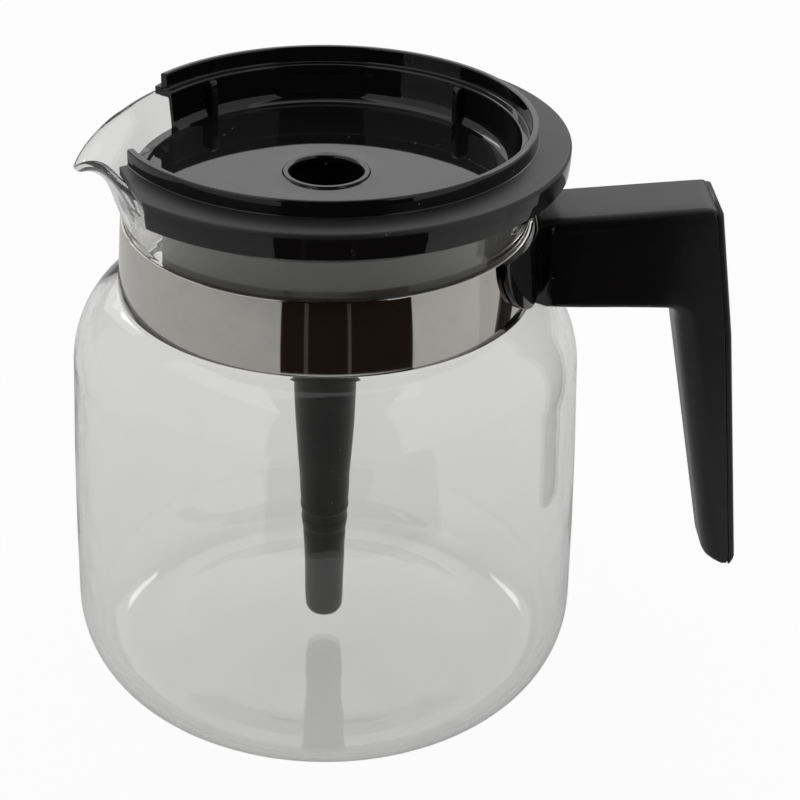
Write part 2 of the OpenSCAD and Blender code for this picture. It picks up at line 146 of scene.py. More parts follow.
# %% A node tree under construction
class Finish:
    def __init__(self, name, owner=None):
        self.owner = owner or bpy.data.materials.new(name)
        self.owner.use_nodes = True
        self.tree = self.owner.node_tree
        self.tree.nodes.clear()

    def add(self, kind, settings, sockets, out=0):
        node = self.tree.nodes.new(kind)
        for key, value in settings.items():
            setattr(node, key, value)
        for key, value in sockets.items():
            if isinstance(value, Varies):
                self.tree.links.new(value.socket, node.inputs[key])
            else:
                node.inputs[key].default_value = value
        return Varies(self, node.outputs[out])

    def place(self):
        return self.add("ShaderNodeTexCoord", {}, {}, "Object")

    def in_millimetres(self, stretch=(1, 1, 1)):
        """The spot's place in millimetres, each coordinate multiplied by its stretch."""
        return self.add("ShaderNodeMapping", {}, {"Vector": self.place(), "Scale": [s / MM for s in stretch]})

    def noise(self, scale, detail, roughness=0.5, stretch=(1, 1, 1)):
        """Soft blotches, scale of them to a millimetre, from 0 to 1."""
        spot = self.in_millimetres(stretch)
        values = {"Vector": spot, "Scale": scale, "Detail": detail, "Roughness": roughness}
        return self.add("ShaderNodeTexNoise", {}, values)

    def part(self, axis):
        """One of the spot's three coordinates, in metres."""
        return self.add("ShaderNodeSeparateXYZ", {}, {0: self.place()}, axis)

    def off_axis(self):
        """How far the spot is from the upright axis, in metres."""
        flat = self.add("ShaderNodeVectorMath", {"operation": "MULTIPLY"}, {0: self.place(), 1: (1, 1, 0)})
        return self.add("ShaderNodeVectorMath", {"operation": "LENGTH"}, {0: flat}, 1)

    def mix(self, share, first, second):
        """A colour between two colours."""
        settings = {"data_type": "RGBA", "clamp_factor": True}
        return self.add("ShaderNodeMix", settings, {0: share, 6: first, 7: second}, 2)

    def relief(self, height, depth, strength, normal=None):
        """The surface's normal, bent by a height field of that depth in millimetres."""
        values = {"Height": height, "Distance": depth * MM, "Strength": strength}
        if normal:
            values["Normal"] = normal
        return self.add("ShaderNodeBump", {}, values)

    def end(self, shader, kind="ShaderNodeOutputMaterial"):
        node = self.tree.nodes.new(kind)
        self.tree.links.new(shader.socket, node.inputs["Surface"])
        return self.owner


def grey(value):
    return (value, value, value, 1)


# %% [markdown]
# ## The studio
# The jug stood on white paper under soft boxes, and the photograph was cut out on pure white. The floor is
# a pale sheet that curves up behind. Its colour is lifted to white only for rays that come from the camera,
# so no extra light falls on the jug. Rays that went through glass or off metal get a smaller lift, because
# in the photograph the glass shows the real paper behind it, which was a light grey.

# %% Lay the floor
paper = Finish("white_paper")
ray = "ShaderNodeLightPath"
WHITE_TO_CAMERA, WHITE_IN_METAL, WHITE_THROUGH_GLASS = 0.95, 0.02, 0.24
fibres = paper.noise(0.8, 4).ramp(0.3, 0.7, 0.71, 0.73)
paper_colour = paper.mix(fibres, grey(0), grey(1))
lit = paper.add("ShaderNodeBsdfDiffuse", {}, {"Color": paper_colour})
white = paper.add("ShaderNodeEmission", {}, {"Color": grey(1), "Strength": 1.0})
seen = paper.add(ray, {}, {}, "Is Camera Ray") * WHITE_TO_CAMERA
mirrored = paper.add(ray, {}, {}, "Is Glossy Ray") * WHITE_IN_METAL
through_glass = paper.add(ray, {}, {}, "Is Transmission Ray") * WHITE_THROUGH_GLASS
whitened = seen.most(mirrored.most(through_glass))
paper_shader = paper.add("ShaderNodeMixShader", {}, {0: whitened, 1: lit, 2: white})
paper_material = paper.end(paper_shader)


def sheet_profile(reach, bend, rise, steps=12):
    """Points (y, z) of a paper sweep: flat from the front, a bend of that radius, then straight up."""
    turn = [(reach - bend + bend * math.sin(a), bend - bend * math.cos(a))
            for a in np.linspace(0, math.pi / 2, steps)]
    return [(-reach, 0.0)] + turn + [(reach, rise)]


def mesh_object(name, points, faces, smooth=True):
    mesh = bpy.data.meshes.new(name)
    mesh.from_pydata([tuple(p) for p in points], [], faces)
    mesh.polygons.foreach_set("use_smooth", [smooth] * len(mesh.polygons))
    mesh.update()
    made = bpy.data.objects.new(name, mesh)
    bpy.context.scene.collection.objects.link(made)
    return made


HALF_PAPER = 3.5
BELOW_JUG = 0.0002
sweep = sheet_profile(reach=3.0, bend=0.8, rise=2.5)
sweep_points = [(x, y, z) for y, z in sweep for x in (-HALF_PAPER, HALF_PAPER)]
sweep_strips = [(2 * i, 2 * i + 1, 2 * i + 3, 2 * i + 2) for i in range(len(sweep) - 1)]
floor = mesh_object("paper_floor", sweep_points, sweep_strips)
floor.location.z = -BELOW_JUG
floor.data.materials.append(paper_material)
print("paper sweep of", len(floor.data.polygons), "strips")

# %% [markdown]
# ## Light
# Product pictures of glass use large soft sources. One stands behind, low enough to be mirrored by the
# lid's flat dish, and one hangs above. Two narrow ones stand behind, left and right. The rounded inner edge
# of the jug's floor is a hollow mirror, and it draws each of them as a thin bright streak, as in the
# photograph. The rest of the light comes from the pale room. The camera sees that room a little brighter
# than it shines.

# %% Hang the lamps
studio = Finish("studio", bpy.data.worlds.new("studio"))
bpy.context.scene.world = studio.owner
ROOM_SHINES, ROOM_SEEN = 0.64, 0.97
rooms = [studio.add("ShaderNodeBackground", {}, {"Color": grey(1), "Strength": strength})
         for strength in (ROOM_SHINES, ROOM_SEEN)]
to_camera = studio.add(ray, {}, {}, "Is Camera Ray")
room = studio.add("ShaderNodeMixShader", {}, {0: to_camera, 1: rooms[0], 2: rooms[1]})
studio.end(room, "ShaderNodeOutputWorld")
JUG_MIDDLE = Vector((0, 0, 0.09))


def soft_box(name, place, size, radiance):
    """A rectangular lamp that faces the jug; radiance is how bright its face looks."""
    lamp = bpy.data.lights.new(name, "AREA")
    lamp.shape = "RECTANGLE"
    lamp.size, lamp.size_y = size
    lamp.energy = radiance * math.pi * size[0] * size[1]
    made = bpy.data.objects.new(name, lamp)
    made.location = place
    towards = JUG_MIDDLE - Vector(place)
    made.rotation_mode = "QUATERNION"
    made.rotation_quaternion = towards.to_track_quat("-Z", "Y")
    made.visible_camera = False
    bpy.context.scene.collection.objects.link(made)


boxes = (
    ("box_behind", (0.0, 1.5, 0.95), (2.8, 1.0), 0.85),
    ("box_above", (-0.2, -0.1, 1.8), (2.2, 2.0), 0.45),
    ("box_left", (-0.75, 1.1, 1.05), (0.2, 0.5), 4.0),
    ("box_right", (0.75, 1.1, 1.05), (0.2, 0.5), 4.0))
for name, place, size, radiance in boxes:
    soft_box(name, place, size, radiance)

# %% [markdown]
# ## What the polished band mirrors
# A mirror has no colour of its own: the band's dark stripe in the photograph is the table's dark edge and
# the camera stand in front of the jug. Dark slats lie on the floor there, below the picture's edge, with
# two narrow grey strips that give the thin light lines in the stripe. To their right a white card brightens
# what the band's right end and the lid's skirt mirror. A dark cloth behind and above the camera stands for
# the dark side of the room, which the front of the glass mirrors. All these pieces are only there to be
# mirrored, so neither the camera nor the clear glass shows them, and the floor looks plain from every side.

# %% Lay the dark slats in front
def for_mirrors(piece, shades):
    """Makes it stage that the camera doesn't see. shades says whether it keeps light from the floor."""
    piece.visible_camera = False
    piece.visible_shadow = shades
    piece.visible_diffuse = shades
    return piece


ABOVE_PAPER = 0.0005
SLAT_NEAR, SLAT_FAR = 0.186, 1.2


def slat(name, from_turn, to_turn):
    """A flat sector on the floor. Turns are in degrees from straight in front, positive to the right."""
    turns = np.radians(np.linspace(from_turn, to_turn, 9))
    points = [(r * math.sin(a), -r * math.cos(a), ABOVE_PAPER) for r in (SLAT_NEAR, SLAT_FAR) for a in turns]
    n = len(turns)
    made = mesh_object(name, points, [(i, i + n, i + n + 1, i + 1) for i in range(n - 1)], smooth=False)
    return for_mirrors(made, shades=False)


def matt(name, dark, light):
    """A matt finish with a streaky grain between two colours, clear for light that met nothing but glass."""
    made = Finish(name)
    grain = made.noise(0.02, 5, 0.6, (1, 12, 1))
    colour = made.mix(grain, (*dark, 1), (*light, 1))
    solid = made.add("ShaderNodeBsdfDiffuse", {}, {"Color": colour})
    clear = made.add("ShaderNodeBsdfTransparent", {}, {"Color": grey(1)})
    off_metal = made.add(ray, {}, {}, "Glossy Depth") > 0.5
    off_paper = made.add(ray, {}, {}, "Diffuse Depth") > 0.5
    return made.end(made.add("ShaderNodeMixShader", {}, {0: off_metal.most(off_paper), 1: clear, 2: solid}))


wood = matt("dark_table_edge", (0.013, 0.010, 0.009), (0.038, 0.025, 0.019))
felt = matt("grey_felt", (0.09, 0.085, 0.08), (0.13, 0.12, 0.115))
card = matt("white_card", (0.84, 0.84, 0.83), (0.88, 0.88, 0.87))
cloth = matt("black_cloth", (0.006, 0.006, 0.006), (0.012, 0.012, 0.012))
in_front = (
    ("slat_left", -22, -10.4, wood), ("strip_left", -10.4, -8.4, felt), ("slat_middle", -8.4, 10.9, wood),
    ("strip_right", 10.9, 12.6, felt), ("slat_right", 12.6, 43.8, wood), ("card_right", 43.8, 85, card))
for name, start, stop, cover in in_front:
    slat(name, start, stop).data.materials.append(cover)
screen_side = ((-1.2, 0.001), (-1.2, 1.5), (0.0, 2.0))
screen_points = [(x, y, z) for y, z in screen_side for x in (-0.55, 0.75)]
screen = mesh_object("dark_screen", screen_points, [(0, 1, 3, 2), (2, 3, 5, 4)], smooth=False)
screen.data.materials.append(cloth)
for_mirrors(screen, shades=True)
print("three dark slats, two grey strips, a white card and a dark screen in front of the jug")

# %% [markdown]
# ## Dust and wear
# Nothing that was photographed is quite clean. Dust on smooth black plastic shows as pale specks well under
# a millimetre across. Cells of a Voronoi texture each hold one random number, so keeping only a few cells
# and only their middles scatters specks without any image.


# %% A mask of specks
def specks(finish, cells, kept, size):
    """1 on scattered specks, 0 elsewhere: cells to a millimetre, share kept, a speck's size in cells."""
    values = {"Vector": finish.in_millimetres(), "Scale": cells}
    far = finish.add("ShaderNodeTexVoronoi", {}, values, "Distance")
    draw = finish.add("ShaderNodeTexVoronoi", {}, values, "Color")
    luck = finish.add("ShaderNodeSeparateColor", {}, {0: draw}, 0)
    return (far < size) * (luck < kept)


# %% [markdown]
# ## Black plastic in two finishes
# The handle's sides and the lid's collar, dish and skirt come from a polished tool and mirror the lamps.
# The lid's flange and the handle's top come from a blasted part of the same tool, so they scatter light and
# look dark grey; arm and grip are a little lighter and rougher, and that lighter colour is a painted sheen.
# No edge of the mesh parts these finishes, so masks find them: they compare how far out and how high each
# spot lies. The first one finds the lid's plug, a short ring that hangs into the jug's mouth. It is dull, and
# its light grey is painted light, a colour lifted for the lamp light that hardly reaches it inside the glass.

# %% Where the plug is painted light grey
PLUG_INSIDE, PLUG_OUTSIDE, PLUG_TOP = 0.0435, 0.0475, 0.1345


def plug_places(made):
    """1 on the lid's plug, which is dull and painted light grey, 0 elsewhere."""
    out, up = made.off_axis(), made.part(2)
    return (out > PLUG_INSIDE) * (out < PLUG_OUTSIDE) * (up < PLUG_TOP)


# %% [markdown]
# The second mask starts from that one and adds the flange, the handle's sloping top, and a little of the
# arm and grip, where a lighter colour paints in their sheen. All limits are in metres, as a shader sees them.

# %% Where the polished mouldings are blasted, and where the grip's sheen is painted
COLLAR_OUTSIDE, FLANGE_TOP = 0.0501, 0.14652
HANDLE_FROM, HANDLE_TOP, TOP_SLOPE = 0.052, 0.132, 1 / 12


def blasted_and_sheen_places(made):
    """1 on the flange, the plug and the handle's top, less on arm and grip for a painted sheen, 0 on the
    polished rest.
    """
    out, along, up = made.off_axis(), made.part(0), made.part(2)
    flange = (out > COLLAR_OUTSIDE) * up.ramp(0.1446, 0.1452) * (up < FLANGE_TOP)
    top = (up - along * TOP_SLOPE).ramp(0.1216, 0.1228) * (out > HANDLE_FROM) * (up < HANDLE_TOP)
    # Arm and grip: a lighter colour that paints in the polished grip's sheen, and a little more roughness.
    painted_grip_sheen = (out.ramp(0.058, 0.062, 0, 0.2) + along.ramp(0.076, 0.09, 0, 0.6)) * (up < HANDLE_TOP)
    return flange.most(top).most(plug_places(made)).most(painted_grip_sheen)


# %% [markdown]
# Both finishes are the same plastic, so one function mixes both. Only the roughness, the depth of the
# grain, the share of dust and the masks differ. Two bump heights lie over each other: a slow swell, because
# a moulded face is never quite flat, and a fine grain from the tool.

# %% Mix the black plastics
# The blasted finish's colour; on arm and grip the same colour is a painted sheen.
BLASTED_AND_SHEEN_BLACK = (0.016, 0.0145, 0.0152, 1)
# A light grey: on the plug it is painted light, on the tube's lower end a real coffee stain.
STAIN_AND_PAINTED_LIGHT_GREY = (0.16, 0.156, 0.148, 1)
DUST = (0.30, 0.29, 0.27, 1)


def black_plastic(name, roughness, grain_depth, dusty, tint, stain_and_painted_light, blasted_and_sheen=None):
    made = Finish(name)
    dust = specks(made, 0.55, dusty, 0.11).most(specks(made, 1.7, dusty * 0.7, 0.14) * 0.6)
    haze = made.noise(0.05, 4, 0.6)
    colour = (*tint, 1)
    if blasted_and_sheen:
        # Blasted parts and the grip's painted sheen take the lighter black.
        matt_and_sheen_share = blasted_and_sheen(made)
        colour = made.mix(matt_and_sheen_share, colour, BLASTED_AND_SHEEN_BLACK)
    # The plug's grey is painted light; on the tube's lower end the same grey is a stain.
    colour = made.mix(stain_and_painted_light(made), colour, STAIN_AND_PAINTED_LIGHT_GREY)
    colour = made.mix(dust * 0.55, colour, DUST)
    dull = haze.ramp(0.35, 0.75, roughness * 0.85, roughness * 1.3) + dust * 0.4
    if blasted_and_sheen:
        dull = dull + matt_and_sheen_share * 0.4
    swell = made.noise(0.09, 1)
    grain = made.noise(9.0, 1)
    normal = made.relief(swell, 0.02, 0.35)
    normal = made.relief(grain, grain_depth, 0.5, normal)
    shader = made.add("ShaderNodeBsdfPrincipled", {}, {
        "Base Color": colour, "Roughness": dull, "Normal": normal, "IOR": 1.47})
    return made.end(shader)


def low_on_tube(made):
    """Near 0 on most of the tube, a little more at its lower end, which stands in the coffee."""
    return made.part(2).ramp(0.012, 0.05, 0.13, 0.02)


gloss_black = black_plastic("gloss_black_plastic", 0.03, 0.0003, 0.03, (0.0065, 0.006, 0.0064),
                            plug_places, blasted_and_sheen_places)
satin_black = black_plastic("satin_black_plastic", 0.36, 0.0002, 0.12, (0.008, 0.0072, 0.0075), low_on_tube)
print("plastics:", gloss_black.name, satin_black.name)

# %% [markdown]
# ## Polished and plain steel
# The band is rolled and then polished along its length, which leaves hair lines too fine to see singly:
# they only blur a reflection a little more across than along. Noise stretched along the height gives that
# blur. The screw and nut are zinc-coated, duller and mottled.


# %% Make the steels
def steel(name, tint, dull, blotches, line_depth, stretch):
    made = Finish(name)
    lines = made.noise(1.4, 3, 0.6, stretch)
    stains = made.noise(blotches, 4, 0.65)
    smears = made.noise(0.03, 2)
    colour = made.mix(stains.ramp(0.45, 0.8), (*tint, 1), (*(c * 0.9 for c in tint), 1))
    roughness = smears.ramp(0.4, 0.7, dull * 0.7, dull * 1.5) + lines * (dull * 0.3)
    dents = made.relief(made.noise(0.06, 2), 0.02, 0.5)
    shader = made.add("ShaderNodeBsdfPrincipled", {}, {
        "Base Color": colour, "Metallic": 1.0, "Roughness": roughness,
        "Normal": made.relief(lines, line_depth, 0.4, dents)})
    return made.end(shader)


polished_steel = steel("polished_steel", (0.585, 0.56, 0.53), 0.035, 0.12, 0.0004, (0.05, 0.05, 3))
screw_steel = steel("screw_steel", (0.55, 0.55, 0.53), 0.28, 0.6, 0.004, (1, 1, 1))
print("steels:", polished_steel.name, screw_steel.name)

# %% [markdown]
# ## Glass
# The jug is borosilicate glass: clear, with a trace of colour where it is looked at along the wall. A
# renderer's lamps can't shine through a refracting wall, so a plain Transparent shader takes its place for
# the rays that carry lamp light. The wall is drawn with both its faces, because refraction needs a real
# thickness.

# %% Melt the glass
glass = Finish("clear_glass")
waves = glass.noise(0.035, 2)
film = glass.noise(0.02, 4, 0.6)
glass_normal = glass.relief(waves, 0.25, 0.5)
clear = glass.add("ShaderNodeBsdfPrincipled", {}, {
    "Base Color": (0.988, 0.990, 0.980, 1), "Transmission Weight": 1.0, "IOR": 1.47,
    "Roughness": film.ramp(0.5, 0.8, 0.0, 0.02), "Normal": glass_normal})
through = glass.add("ShaderNodeBsdfTransparent", {}, {"Color": (0.92, 0.925, 0.92, 1)})
lamp_ray = glass.add(ray, {}, {}, "Is Shadow Ray").most(glass.add(ray, {}, {}, "Is Diffuse Ray"))
clear_glass = glass.end(glass.add("ShaderNodeMixShader", {}, {0: lamp_ray, 1: clear, 2: through}))
finishes = {"glass": clear_glass, "polished_steel": polished_steel,
            "gloss_black": gloss_black, "satin_black": satin_black}
print("finishes by slot:", sorted(finishes))

# %% [markdown]
# ## Drawing profiles
# Most of this object is turned: a profile spun round the axis. A moulded or blown edge is never sharp, so
# each corner of a profile carries a radius, and one function puts the arc in.


# %% Round the corners of a line
def rounded(corners, closed=False, step=12.0):
    """Corners are (a, b, radius). Gives the points of the line with an arc in place of each corner."""
    line = []
    count = len(corners)
    for i, (a, b, radius) in enumerate(corners):
        here = Vector((a, b))
        if radius <= 0 or (not closed and i in (0, count - 1)):
            line.append(here)
            continue
        before = Vector(corners[i - 1][:2]) - here
        after = Vector(corners[(i + 1) % count][:2]) - here
        turn = math.pi - before.angle(after)
        cut = min(radius * math.tan(turn / 2), 0.48 * before.length, 0.48 * after.length)
        radius = cut / math.tan(turn / 2)
        start, end = here + before.normalized() * cut, here + after.normalized() * cut
        inwards = (before.normalized() + after.normalized()).normalized()
        centre = here + inwards * (radius / math.cos(turn / 2))
        pieces = max(2, math.ceil(math.degrees(turn) / step))
        for k in range(pieces + 1):
            share = k / pieces
            point = start.lerp(end, share) - centre
            line.append(centre + point.normalized() * radius)
    return line


def divided(line, longest):
    """The same line with points added so that no stretch is longer than that."""
    out = [line[0]]
    for a, b in zip(line, line[1:]):
        n = max(1, math.ceil((b - a).length / longest))
        out += [a.lerp(b, k / n) for k in range(1, n + 1)]
    return out


# %% [markdown]
# ## From rows of points to a mesh
# Every piece here is a grid: rows of points that are joined to the next row. The same function serves a
# turned body, a strip swept along a path and the handle. Points that fall together, as at the middle of a
# base, are merged afterwards.

# %% Join rows of points
SAME_POINT = 0.004


def turn_faces_outwards(made, merge=0.0):
    """Merges points that lie closer than that, then makes all faces look outwards."""
    shape = bmesh.new()
    shape.from_mesh(made.data)
    bmesh.ops.remove_doubles(shape, verts=shape.verts, dist=merge * MM)
    bmesh.ops.recalc_face_normals(shape, faces=shape.faces)
    shape.to_mesh(made.data)
    shape.free()


def grid_piece(name, rows, body, slot, ring=True, loop=False, caps=False):
    """rows is a list of equally long lists of points in millimetres. ring closes each row, loop joins the
    last row to the first, caps fills the first and the last row."""
    n = len(rows[0])
    points = [Vector(p) * MM for row in rows for p in row]
    spans = [(i, (i + 1) % len(rows)) for i in range(len(rows) - (0 if loop else 1))]
    faces = [(a * n + k, a * n + (k + 1) % n, b * n + (k + 1) % n, b * n + k)
             for a, b in spans for k in range(n if ring else n - 1)]
    if caps:
        faces += [tuple(range(n))[::-1], tuple(range((len(rows) - 1) * n, len(rows) * n))]
    made = mesh_object(name, points, faces)
    turn_faces_outwards(made, SAME_POINT)
    made.data.materials.append(finishes[slot])
    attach(made, body)
    print("%s: %d faces" % (name, len(made.data.polygons)))
    return made


def spun(radius, turn, height):
    """Points at that radius and height, turned round the axis."""
    return np.stack(np.broadcast_arrays(radius * np.cos(turn), radius * np.sin(turn), height), axis=-1)


def turned_rows(line, columns):
    """Rows of a profile line (radius, height) spun once round the axis."""
    turns = np.radians(np.linspace(0, 360, columns, endpoint=False))
    return [spun(radius, turns, height) for radius, height in line]


def soften_edges(piece, width, angle, segments=3):
    """Rounds the piece's sharp edges by a little, as a moulding's edges are."""
    edge = piece.modifiers.new("soft_edges", "BEVEL")
    edge.width = width * MM
    edge.segments = segments
    edge.limit_method = "ANGLE"
    edge.angle_limit = math.radians(angle)
    edge.use_clamp_overlap = True


# %% [markdown]
# ## Sizes from the CAD model
# Everything meets at the neck band: the glass is inside it, the handle outside it, and all three are
# slightly conical there. The heights and radii that these pieces share are measured on the CAD nodes, so
# that the dressed pieces meet as the CAD pieces do. Typing them again would work until someone changes the
# CAD model.


# %% Measure the jug and the band
def box_of(name):
    """Lowest and highest corner of a CAD node, in millimetres."""
    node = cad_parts[name]
    corners = np.array([node.matrix_world @ Vector(corner) for corner in node.bound_box]) / MM
    return corners.min(axis=0).round(3), corners.max(axis=0).round(3)


BODY_RADIUS = box_of("glass_jug")[1][0]
BAND_LOW, BAND_TOP = (corner[2] for corner in box_of("neck_band"))
BAND_RADIUS = box_of("neck_band")[1][1]
BAND_THICKNESS = 0.8
TAPER = 1.3
neck_low = BAND_RADIUS - BAND_THICKNESS
neck_top = neck_low - TAPER
print("band from %.1f to %.1f mm, neck radius %.1f to %.1f mm" % (BAND_LOW, BAND_TOP, neck_low, neck_top))

# %% [markdown]
# ## The glass body
# The jug was blown into a mould and its base pressed. Its outer profile is a foot ring, a rounded heel, a
# nearly straight wall, a rounded shoulder and the neck. The inner face follows it one wall thickness
# inwards. A lathe profile is the natural way, and only the spout needs more.

# %% The jug's turned profile, up to the top of the band
WALL = 2.2
FOOT_RADIUS = 49
BASE_RISE = 1.4
HEEL_TOP = 20
SHOULDER_RADIUS, SHOULDER_LOW = 46, 87
SHOULDER_REACH, SHOULDER_RISE, SHOULDER_TURN = 16.8, 21.04, 75.9
LONGEST = 4
COLUMNS = 240


def quarter_ellipse(centre, reach, rise, start, stop, pieces=16):
    turns = np.radians(np.linspace(start, stop, pieces + 1))
    return [Vector((centre[0] + reach * math.cos(a), centre[1] + rise * math.sin(a))) for a in turns]


def jug_side(inset):
    """The wall from the heel to the top of the band, moved inwards."""
    heel_reach = BODY_RADIUS - FOOT_RADIUS - inset
    heel = quarter_ellipse((FOOT_RADIUS, HEEL_TOP), heel_reach, HEEL_TOP - inset, -90, 0)
    wall = [Vector((64.6 - inset, 42)), Vector((63.9 - inset, 64))]
    shoulder = quarter_ellipse((SHOULDER_RADIUS - inset, SHOULDER_LOW), SHOULDER_REACH,
                               SHOULDER_RISE - inset * 0.6, 0, SHOULDER_TURN)
    neck = [Vector((neck_low - inset, BAND_LOW)), Vector((neck_top - inset, BAND_TOP))]
    return divided(heel + wall + shoulder + neck, LONGEST)


foot = rounded([(0, BASE_RISE, 0), (22, 1.3, 90), (38, 0.85, 50), (46, 0.05, 9), (FOOT_RADIUS, 0, 0)])
outer_side = divided(foot[:-1], LONGEST) + jug_side(0)
inner_floor = rounded([(0, BASE_RISE + WALL, 0), (22, 1.35 + WALL, 90), (40, 0.8 + WALL, 40),
                       (FOOT_RADIUS, WALL, 0)])
inner_side = divided(inner_floor[:-1], LONGEST) + jug_side(WALL)
print("jug profile:", len(outer_side), "points outside,", len(inner_side), "inside")

# %% [markdown]
# ## The spout
# After blowing, the rim was softened again and drawn out into a lip. Such a shape is best given by its four
# edges: the neck below, the drooping rim above, the lip's middle line, and the plain neck where the lip
# ends. A Coons patch blends the four edges into one smooth surface. The rim's edge and the middle line were
# measured in the photograph.


# %% Lines through measured points
def smooth_line(points, count):
    """count points, evenly spaced along a smooth curve through the given ones."""
    knots = np.array([tuple(p) for p in points], float)
    gaps = np.concatenate([[0], np.cumsum(np.linalg.norm(np.diff(knots, axis=0), axis=1))])
    slopes = np.gradient(knots, gaps, axis=0)
    fine = np.linspace(0, gaps[-1], 400)
    spans = np.clip(np.searchsorted(gaps, fine, side="right") - 1, 0, len(gaps) - 2)
    h = (gaps[spans + 1] - gaps[spans])[:, None]
    t = ((fine - gaps[spans]) / h[:, 0])[:, None]
    curve = ((2 * t**3 - 3 * t**2 + 1) * knots[spans] + (t**3 - 2 * t**2 + t) * h * slopes[spans]
             + (3 * t**2 - 2 * t**3) * knots[spans + 1] + (t**3 - t**2) * h * slopes[spans + 1])
    run = np.concatenate([[0], np.cumsum(np.linalg.norm(np.diff(curve, axis=0), axis=1))])
    even = np.linspace(0, run[-1], count)
    return np.stack([np.interp(even, run, curve[:, k]) for k in range(curve.shape[1])], axis=1)


# %% [markdown]
# The rim's edge is listed from the tip to where it meets the round rim: how far out, how far to the side,
# and how high. The lip's middle line is listed from the neck to the tip: how far out and how high.

# %% Build the neck with its spout
LIP_TURN = 34.0
NECK_ROWS = 26
RIM_RADIUS, RIM_HEIGHT = 53.8, 143.1
TIP = (60.1, 0, 136.5)
rim_edge = [TIP, (59.95, 1.1, 136.7), (59.6, 2.6, 137.3), (58.9, 4.3, 138.2), (58, 6.0, 139.2),
            (56, 9.2, 140.9), (54, 12.4, 142.1), (52, 15.9, 142.8), (50, 19.8, 143.0), (47.2, 25.6, 143.1)]
lip_middle = [(neck_top, BAND_TOP), (49.9, 128), (51.1, 130.2), (52.1, 132.6), (53.3, 134.6), (55.2, 135.9),
              (57.4, 136.2), (59.2, 135.9), (TIP[0], TIP[2])]
neck_line = rounded([(neck_top, BAND_TOP, 0), (49.4, 130, 9), (51.0, 136.4, 14), (RIM_RADIUS, RIM_HEIGHT, 0)])


def patch(bottom, top, side_a, side_b):
    """Rows of a surface between four edges; side_a and side_b run from bottom to top."""
    rows = []
    last = len(top) - 1
    for v in range(len(side_a)):
        up = v / (len(side_a) - 1)
        row = []
        for k in range(len(top)):
            along = k / last
            along = along * along * (3 - 2 * along)
            low = (1 - along) * bottom[0] + along * bottom[-1]
            high = (1 - along) * top[0] + along * top[-1]
            row.append((1 - up) * bottom[k] + up * top[k] + (1 - along) * side_a[v] + along * side_b[v]
                       - (1 - up) * low - up * high)
        rows.append(row)
    return np.array(rows)


half = round(LIP_TURN / 360 * COLUMNS)
turns = np.radians(np.arange(half + 1) * 360 / COLUMNS)
lip_bottom = spun(neck_top, turns, BAND_TOP)
plain = smooth_line(neck_line, NECK_ROWS)
rim_edge.append(spun(RIM_RADIUS, turns[-1], RIM_HEIGHT))
rim_line = smooth_line(rim_edge, half + 1)
side_plain = spun(plain[:, 0], turns[-1], plain[:, 1])
side_tip = smooth_line([(x, 0, z) for x, z in lip_middle], NECK_ROWS)
lip_out = patch(lip_bottom, rim_line, side_tip, side_plain)
print("spout patch:", lip_out.shape[0], "by", lip_out.shape[1], "points on each side")

# %% [markdown]
# The patch covers one half of the lip, from the tip outwards. The whole neck is one grid: for each column
# the angle from the spout's middle picks either a column of the patch, mirrored for the other side, or the
# plain turned line. The inner face is the outer one moved inwards along its own normals, thinner towards
# the rim.


# %% Neck rows all round
def neck_grid():
    rows = np.zeros((NECK_ROWS, COLUMNS, 3))
    for k in range(COLUMNS):
        signed = k if k <= COLUMNS / 2 else k - COLUMNS
        turn = signed * 2 * math.pi / COLUMNS
        if abs(signed) <= half:
            column = lip_out[:, abs(signed)].copy()
            column[:, 1] *= -1 if signed < 0 else 1
        else:
            column = spun(plain[:, 0], turn, plain[:, 1])
        rows[:, k] = column
    return rows


outer_neck = neck_grid()
across = np.roll(outer_neck, -1, axis=1) - np.roll(outer_neck, 1, axis=1)
along = np.gradient(outer_neck, axis=0)
outward = np.cross(across, along)
outward /= np.linalg.norm(outward, axis=2, keepdims=True)
thinning = np.linspace(0, 1, NECK_ROWS)[:, None, None]
LIP_FROM, LIP_LENGTH = 52, 8
THINNER_RIM, THINNER_TIP = 0.25, 1.0
tip_share = np.clip((outer_neck[-1:, :, 0:1] - LIP_FROM) / LIP_LENGTH, 0, 1)
thinner = THINNER_RIM + (THINNER_TIP - THINNER_RIM) * tip_share
inner_neck = outer_neck - outward * (WALL - thinning * thinner)
top_out, top_in = outer_neck[-1], inner_neck[-1]
bulge = along[-1] / np.linalg.norm(along[-1], axis=1, keepdims=True)
middle, reach = (top_out + top_in) / 2, (top_out - top_in) / 2
width = np.linalg.norm(reach, axis=1, keepdims=True)
rim_rows = [middle + reach * math.cos(a) + bulge * width * math.sin(a)
            for a in np.radians([36, 72, 108, 144])]
print("wall %.2f mm at the tip, %.2f mm at the back" % (2 * width[0, 0], 2 * width[COLUMNS // 2, 0]))

# %% [markdown]
# The grids were drawn with the spout along +X, and the jug's spout points along -X, so x and y change sign,
# which is half a turn. Then the rows run in one chain: outside from the base up, over the rim, inside down.

# %% Close the jug
spin = np.array([-1, -1, 1])
below = turned_rows(outer_side[:-1], COLUMNS)
inside = turned_rows(inner_side[:-1], COLUMNS)
chain = below + list(outer_neck) + rim_rows + list(inner_neck[::-1]) + inside[::-1]
jug = grid_piece("glass_body", [row * spin for row in chain], "jug", "glass")
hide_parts("glass_jug")

# %% [markdown]
# ## The neck band
# The band is one strip of thin polished steel, bent round the neck with both ends turned out at the handle
# and folded over, so that the clamp screw can pull on them. A strip swept along its own plan keeps the
# bends. The neck is slightly conical, so the strip's upper edge runs on a smaller circle than its lower
# one.

# %% Sweep the strip
END_SIDE = 5.6
END_BEND, FOLD_BEND = 1.1, 1.0
END_NARROWER, END_FROM, END_BLEND = 2, 50.6, 1.5


